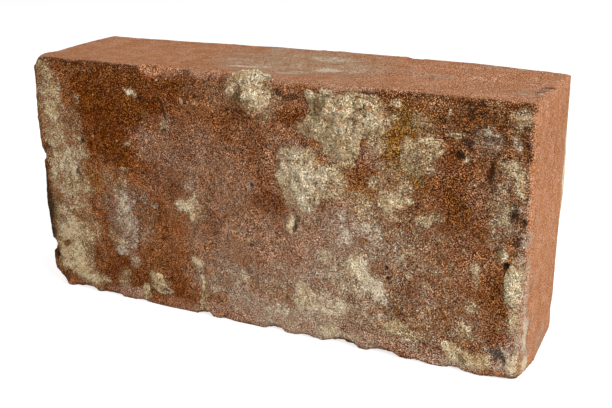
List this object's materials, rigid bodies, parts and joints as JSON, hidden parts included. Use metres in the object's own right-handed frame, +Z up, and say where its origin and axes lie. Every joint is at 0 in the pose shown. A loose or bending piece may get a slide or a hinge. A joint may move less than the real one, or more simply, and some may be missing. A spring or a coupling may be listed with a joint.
{
  "type": "reclaimed hand-moulded solid clay brick",
  "caption": "Old solid clay brick with worn, chipped arrises and lime mortar remnants on one bed face, standing on a long narrow side.",
  "frame": {"origin": "on the floor, under the middle of the lower stretcher face that the brick stands on", "axes": "+X along the length towards the clean header, +Y through the thickness away from the mortared bed face, +Z up the width"},
  "size_m": [0.2517, 0.0705, 0.1262],
  "materials": {
    "fired_clay": "unglazed, sanded, weathered",
    "lime_mortar": "rough sandy lime mortar"
  },
  "bodies": {
    "root": {"brick_body": "fired_clay", "mortar_lump_upper": "lime_mortar", "mortar_crust_upper": "lime_mortar", "mortar_crust_middle": "lime_mortar", "mortar_crust_right": "lime_mortar", "mortar_crust_right_arris": "lime_mortar", "mortar_patch_lower_left": "lime_mortar"}
  },
  "joints": []
}
